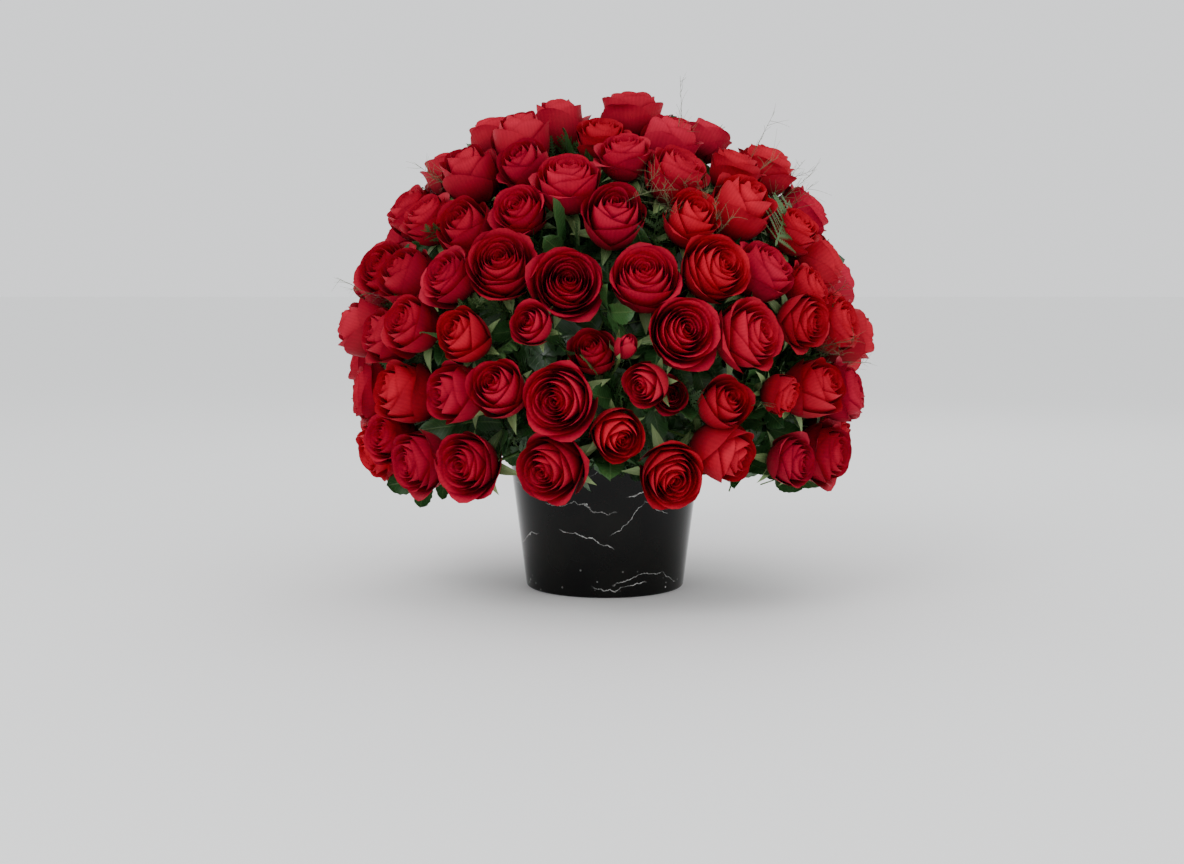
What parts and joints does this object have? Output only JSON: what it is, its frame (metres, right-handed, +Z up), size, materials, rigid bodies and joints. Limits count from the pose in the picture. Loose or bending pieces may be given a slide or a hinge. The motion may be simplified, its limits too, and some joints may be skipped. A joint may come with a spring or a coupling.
{
  "type": "rose arrangement in a pot",
  "caption": "Domed arrangement of red roses with fern and leaves, standing in floral foam in a liner that lifts out of a tapered polished black stone pot.",
  "frame": {"origin": "the middle of the pot's flat base, on the surface it stands on", "axes": "+Z up along the pot's axis, the front of the arrangement faces -Y"},
  "size_m": [0.5181, 0.5159, 0.4812],
  "materials": {
    "pot": "polished",
    "liner": "satin",
    "foam": "matte",
    "rose": "matte",
    "fern": "matte",
    "leaf": "satin"
  },
  "bodies": {
    "pot_body": {"pot": "pot"},
    "insert": {"liner": "liner", "foam": "foam", "fern_1": "fern", "fern_2": "fern", "fern_3": "fern", "leaf_1": "leaf", "leaf_2": "leaf", "rose_01": "rose", "rose_02": "rose", "rose_03": "rose", "rose_04": "rose", "rose_05": "rose", "rose_06": "rose", "rose_07": "rose", "rose_08": "rose", "rose_09": "rose", "rose_10": "rose", "rose_11": "rose", "rose_12": "rose", "rose_13": "rose", "rose_14": "rose", "rose_15": "rose", "rose_16": "rose", "rose_17": "rose", "rose_18": "rose", "rose_19": "rose", "rose_20": "rose", "rose_21": "rose", "rose_22": "rose", "rose_23": "rose", "rose_24": "rose", "rose_25": "rose", "rose_26": "rose", "rose_27": "rose", "rose_28": "rose", "rose_29": "rose", "spray_01": "rose", "spray_02": "rose", "spray_03": "rose", "spray_04": "rose", "spray_05": "rose", "spray_06": "rose", "spray_07": "rose", "spray_08": "rose", "spray_09": "rose", "spray_10": "rose", "spray_11": "rose", "spray_12": "rose", "spray_13": "rose", "spray_14": "rose", "spray_15": "rose", "spray_16": "rose", "spray_17": "rose", "spray_18": "rose", "spray_19": "rose", "spray_20": "rose", "spray_21": "rose", "spray_22": "rose"}
  },
  "joints": [
    {"name": "insert_lift", "type": "slide", "parent": "pot_body", "child": "insert", "axis": [0, 0, 1], "range_m": [0, 0.18]}
  ]
}
